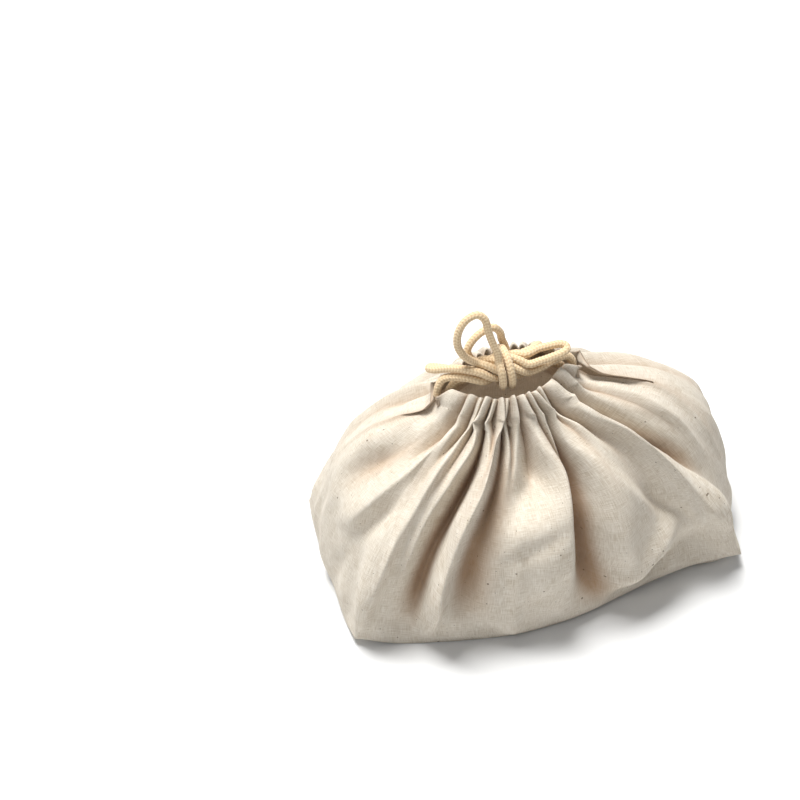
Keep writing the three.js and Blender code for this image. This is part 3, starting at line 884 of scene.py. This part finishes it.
# Runs of the left cord
LEFT_ROUTE = {
    "out of the slit": [
        (-0.0380, 0.0042, -0.0160),
        (-0.0370, 0.0042, -0.0098),
        (-0.0340, 0.0042, -0.0046),
        (-0.0275, 0.0012, -0.0020),
        (-0.0205, -0.0028, -0.0015),
    ],
    "first strand": through_knot(210, True),
    "back loop": [
        (0.0190, 0.0068, 0.0030),
        (0.0230, 0.0096, 0.0022),
        (0.0252, 0.0128, 0.0002),
        (0.0232, 0.0148, -0.0026),
        (0.0195, 0.0126, -0.0042),
        (0.0170, 0.0095, -0.0036),
    ],
    "second strand": through_knot(150, False),
    "left tail": [
        (-0.0205, -0.0020, 0.0042),
        (-0.0270, 0.0025, 0.0032),
        (-0.0330, 0.0065, 0.0010),
        (-0.0375, 0.0095, -0.0010),
        (-0.0396, 0.0120, -0.0021),
        (-0.0401, 0.0138, -0.0028),
        (-0.0390, 0.0151, -0.0033),
        (-0.0372, 0.0149, -0.0035),
        (-0.0335, 0.0132, -0.0034),
        (-0.0275, 0.0104, -0.0036),
        (-0.0210, 0.0076, -0.0034),
    ],
    "third strand": through_knot(-30, True),
    "front loop": [
        (0.0210, -0.0056, 0.0040),
        (0.0285, -0.0055, 0.0054),
        (0.0340, -0.0051, 0.0065),
        (0.0366, -0.0041, 0.0071),
        (0.0375, -0.0025, 0.0078),
        (0.0366, -0.0009, 0.0085),
        (0.0340, 0.0001, 0.0090),
        (0.0290, 0.0005, 0.0088),
        (0.0215, 0.0008, 0.0078),
    ],
    "fourth strand": through_knot(-90, False),
    "into the slit": [
        (-0.0205, 0.0027, -0.0065),
        (-0.0265, 0.0042, -0.0086),
        (-0.0300, 0.0042, -0.0124),
        (-0.0310, 0.0042, -0.0160),
    ],
}


def cord_path(route):
    """Even points along the smooth curve through the runs of a route, and its length."""
    places = np.concatenate(list(route.values())) + KNOT
    ends = (2 * places[0] - places[1], 2 * places[-1] - places[-2])
    places = np.concatenate([[ends[0]], places, [ends[1]]])
    fine = []
    for a, b, c, d in zip(places, places[1:], places[2:], places[3:]):
        t0 = 0
        t1 = t0 + np.linalg.norm(b - a) ** 0.5
        t2 = t1 + np.linalg.norm(c - b) ** 0.5
        t3 = t2 + np.linalg.norm(d - c) ** 0.5
        t = np.linspace(t1, t2, ROUTE_STEPS, endpoint=False)[:, None]
        ab = (t1 - t) / (t1 - t0) * a + (t - t0) / (t1 - t0) * b
        bc = (t2 - t) / (t2 - t1) * b + (t - t1) / (t2 - t1) * c
        cd = (t3 - t) / (t3 - t2) * c + (t - t2) / (t3 - t2) * d
        abc = (t2 - t) / (t2 - t0) * ab + (t - t0) / (t2 - t0) * bc
        bcd = (t3 - t) / (t3 - t1) * bc + (t - t1) / (t3 - t1) * cd
        fine.append((t2 - t) / (t2 - t1) * abc + (t - t1) / (t2 - t1) * bcd)
    fine = np.concatenate([*fine, places[-2:-1]])
    run = np.concatenate([[0], np.cumsum(np.linalg.norm(np.diff(fine, axis=0), axis=1))])
    even = np.linspace(0, run[-1], int(run[-1] / CORD_STEP) + 1)
    return np.stack([np.interp(even, run, fine[:, i]) for i in range(3)], axis=-1), run[-1]


def carried_frames(path):
    """Two directions across a path that turn with it and don't twist."""
    tangent = unit(np.gradient(path, axis=0))
    side = np.empty_like(path)
    side[0] = unit(np.cross(tangent[0], FIRST_SIDE))
    for i in range(1, len(path)):
        carried = side[i - 1] - tangent[i] * np.dot(side[i - 1], tangent[i])
        side[i] = carried / np.linalg.norm(carried)
    return side, np.cross(tangent, side)


def plait(along_cord, round_cord):
    """Height of a plaited cord's columns of slanted stitches, from 0 in a groove to 1 on a strand."""
    column = np.floor(PLAIT_COLUMNS * round_cord)
    across = PLAIT_COLUMNS * round_cord - column
    slant = np.where(column % 2 < 1, PLAIT_SLANT, -PLAIT_SLANT) * (across - 0.5)
    stitch = np.abs(np.sin(np.pi * (along_cord / PLAIT_PITCH + slant))) ** STITCH_ROUND
    return stitch * np.sin(np.pi * (COLUMN_EDGE + (1 - 2 * COLUMN_EDGE) * across)) ** COLUMN_ROUND


def cord_piece(name, route, finish):
    """A plaited cord as a closed tube."""
    path, length = cord_path(route)
    side, lift = carried_frames(path)
    turns = np.arange(CORD_SIDES) / CORD_SIDES
    run = np.linspace(0, length, len(path))
    height = plait(run[:, None], turns[None, :])
    radius = CORD / 2 - PLAIT_DEPTH * (1 - height)
    angle = 2 * np.pi * turns
    ring = np.cos(angle)[None, :, None] * side[:, None] + np.sin(angle)[None, :, None] * lift[:, None]
    points = path[:, None] + ring * radius[..., None]
    ids = np.arange(points.shape[0] * CORD_SIDES).reshape(-1, CORD_SIDES)
    after = np.roll(ids, -1, axis=1)
    quads = np.stack([ids[:-1], after[:-1], after[1:], ids[1:]], axis=-1).reshape(-1, 4).tolist()
    quads.append(ids[0][::-1].tolist())
    quads.append(ids[-1].tolist())
    piece = finished_mesh(name, points.reshape(-1, 3), quads)
    # height of the plait, which sets the painted shade in its grooves
    groove = piece.data.attributes.new("strand", "FLOAT", "POINT")
    groove.data.foreach_set("value", height.ravel().astype(np.float32))
    piece.data.materials.append(finish)
    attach(piece, "root")
    return piece


class Shader:
    """A material's nodes, with short calls to add and join them."""

    def __init__(self, name):
        self.material = bpy.data.materials.new(name)
        self.material.use_nodes = True
        self.nodes = self.material.node_tree.nodes
        self.links = self.material.node_tree.links
        self.surface = self.nodes["Principled BSDF"]

    def node(self, kind, inputs=None, **settings):
        made = self.nodes.new(kind)
        for key, value in settings.items():
            setattr(made, key, value)
        for key, value in (inputs or {}).items():
            self.put(made.inputs[key], value)
        return made

    def put(self, socket, value):
        if isinstance(value, bpy.types.NodeSocket):
            self.links.new(value, socket)
        else:
            socket.default_value = value

    def math(self, operation, *values):
        return self.node("ShaderNodeMath", dict(enumerate(values)), operation=operation).outputs[0]

    def noise(self, vector, scale, detail=2.0, rough=0.5):
        inputs = {"Vector": vector, "Scale": scale, "Detail": detail, "Roughness": rough}
        return self.node("ShaderNodeTexNoise", inputs).outputs["Fac"]

    def stretched(self, vector, scale):
        return self.node("ShaderNodeMapping", {"Vector": vector, "Scale": scale}).outputs[0]

    def ramp(self, value, low, high, to_low=0.0, to_high=1.0):
        inputs = {"Value": value, "From Min": low, "From Max": high, "To Min": to_low, "To Max": to_high}
        return self.node("ShaderNodeMapRange", inputs, clamp=True).outputs[0]

    def finish(self, inputs):
        for key, value in inputs.items():
            self.put(self.surface.inputs[key], value)

    def mix(self, share, first, second):
        made = self.node("ShaderNodeMix", data_type="RGBA")
        self.put(made.inputs[0], share)
        self.put(made.inputs[6], first)
        self.put(made.inputs[7], second)
        return made.outputs[2]


def linen():
    """Undyed plain weave with slubs and small dark flecks, with painted warm shade in its deep folds and
    between its pleats.
    """
    s = Shader("linen")
    cut = s.node("ShaderNodeUVMap", uv_map="cut").outputs[0]
    valley = s.node("ShaderNodeAttribute", attribute_name="valley").outputs["Fac"]
    warp = s.noise(s.stretched(cut, (THREADS, SLUBS, 1)), 1.0, detail=3.0, rough=0.6)
    weft = s.noise(s.stretched(cut, (SLUBS, THREADS, 1)), 1.0, detail=3.0, rough=0.6)
    slubs = s.math("ADD", warp, weft)
    cloudy = s.noise(cut, CLOUDS, detail=4.0)
    colour = s.mix(s.ramp(slubs, *SLUB_RANGE), LINEN_COLOURS["dark thread"], LINEN_COLOURS["pale thread"])
    colour = s.mix(s.ramp(cloudy, *CLOUD_RANGE, 0.0, CLOUD_SHARE), colour, LINEN_COLOURS["cloud"])
    # painted warm shade in the valleys of the folds and between the pleats
    colour = s.mix(s.math("MULTIPLY", valley, VALLEY_SHADE_SHARE), colour, LINEN_COLOURS["valley"])
    for scale, without, size in zip(*FLECKS.values()):
        cells = s.node("ShaderNodeTexVoronoi", {"Vector": cut, "Scale": scale}, voronoi_dimensions="2D")
        chance = s.node("ShaderNodeSeparateColor", {"Color": cells.outputs["Color"]}).outputs[0]
        fleck = s.math("LESS_THAN", cells.outputs["Distance"], s.ramp(chance, without, 1.0, 0.0, size))
        colour = s.mix(s.math("MULTIPLY", fleck, FLECK_SHARE), colour, LINEN_COLOURS["fleck"])
    relief = {"Strength": WEAVE_STRENGTH, "Distance": WEAVE_RELIEF, "Height": slubs}
    s.finish(
        {
            "Base Color": colour,
            "Roughness": 0.92,
            "Specular IOR Level": 0.15,
            "Sheen Weight": 0.1,
            "Sheen Roughness": 0.6,
            "Normal": s.node("ShaderNodeBump", relief).outputs[0],
        }
    )
    through = s.node("ShaderNodeBsdfTranslucent", {"Color": LINEN_COLOURS["light through"]}).outputs[0]
    mixed = s.node("ShaderNodeMixShader", {0: LIGHT_THROUGH, 1: s.surface.outputs[0], 2: through})
    s.put(s.nodes["Material Output"].inputs["Surface"], mixed.outputs[0])
    return s.material


def cotton():
    """Cream plaited cotton, with painted shade in the grooves between its strands."""
    s = Shader("cotton_cord")
    strand = s.node("ShaderNodeAttribute", attribute_name="strand").outputs["Fac"]
    fibre = s.noise(s.node("ShaderNodeTexCoord").outputs["Object"], FIBRES, detail=3.0)
    # painted shade in the grooves of the plait, times random tone of the fibres
    groove_shade_and_fibre = s.math("MULTIPLY", s.ramp(strand, *STRAND_RANGE), s.ramp(fibre, *FIBRE_RANGE, FIBRE_DARK, 1.0))
    relief = {"Strength": FIBRE_STRENGTH, "Distance": FIBRE_RELIEF, "Height": fibre}
    s.finish(
        {
            "Base Color": s.mix(groove_shade_and_fibre, COTTON_COLOURS["groove"], COTTON_COLOURS["strand"]),
            "Roughness": 0.9,
            "Specular IOR Level": 0.2,
            "Sheen Weight": 0.25,
            "Normal": s.node("ShaderNodeBump", relief).outputs[0],
        }
    )
    return s.material


def floor():
    """Plain pale floor."""
    bpy.ops.mesh.primitive_plane_add(size=FLOOR_SIZE)
    plane = bpy.context.object
    plane.name = "floor"
    s = Shader("pale_floor")
    s.finish({"Base Color": FLOOR_COLOUR, "Roughness": 0.7, "Specular IOR Level": 0.2})
    plane.data.materials.append(s.material)


def area_light(name, place, size, power, colour):
    """Square soft light that faces the bag."""
    light = bpy.data.lights.new(name, "AREA")
    light.size = size
    light.energy = power
    light.color = colour
    lamp = bpy.data.objects.new(name, light)
    lamp.location = place
    lamp.rotation_euler = (TARGET - Vector(place)).to_track_quat("-Z", "Y").to_euler()
    bpy.context.scene.collection.objects.link(lamp)


def lights():
    """Soft window light from above and behind, a weak fill from the front, and pale light all round."""
    world = bpy.data.worlds.new("studio")
    world.use_nodes = True
    background = world.node_tree.nodes["Background"]
    background.inputs["Color"].default_value = WORLD_COLOUR
    background.inputs["Strength"].default_value = WORLD_STRENGTH
    bpy.context.scene.world = world
    for name, lamp in LAMPS.items():
        area_light(name, **lamp)
    bpy.context.scene.view_settings.view_transform = "Standard"


def camera():
    """Camera in front and above, turned so that its target shows off the middle of the picture."""
    a, e = np.radians(AZIMUTH), np.radians(ELEVATION)
    back = Vector((np.sin(a) * np.cos(e), -np.cos(a) * np.cos(e), np.sin(e)))
    right = Vector((np.cos(a), np.sin(a), 0))
    axes = Matrix((right, back.cross(right), back)).transposed()
    turn = np.arctan((TARGET_PIXEL[0] - PICTURE / 2) / FOCAL_PIXELS)
    tilt = np.arctan((TARGET_PIXEL[1] - PICTURE / 2) / FOCAL_PIXELS)
    axes = axes @ Matrix.Rotation(turn, 3, "Y") @ Matrix.Rotation(tilt, 3, "X")
    lens = bpy.data.cameras.new("camera")
    lens.sensor_width = SENSOR
    lens.lens = SENSOR * FOCAL_PIXELS / PICTURE
    lens.clip_start = NEAR
    eye = bpy.data.objects.new("camera", lens)
    eye.location = TARGET + back * FOCAL_PIXELS / PIXELS_PER_METRE
    eye.rotation_euler = axes.to_euler()
    bpy.context.scene.collection.objects.link(eye)
    bpy.context.scene.camera = eye


camera()
lights()
floor()
cotton_finish = cotton()
for node, route in {"cord_right": RIGHT_ROUTE, "cord_left": LEFT_ROUTE}.items():
    cord = cord_piece("plaited_" + node, route, cotton_finish)
    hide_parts(node)
bag = bag_mesh()
bag.data.materials.append(linen())
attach(bag, "root")
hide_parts("bag_body")
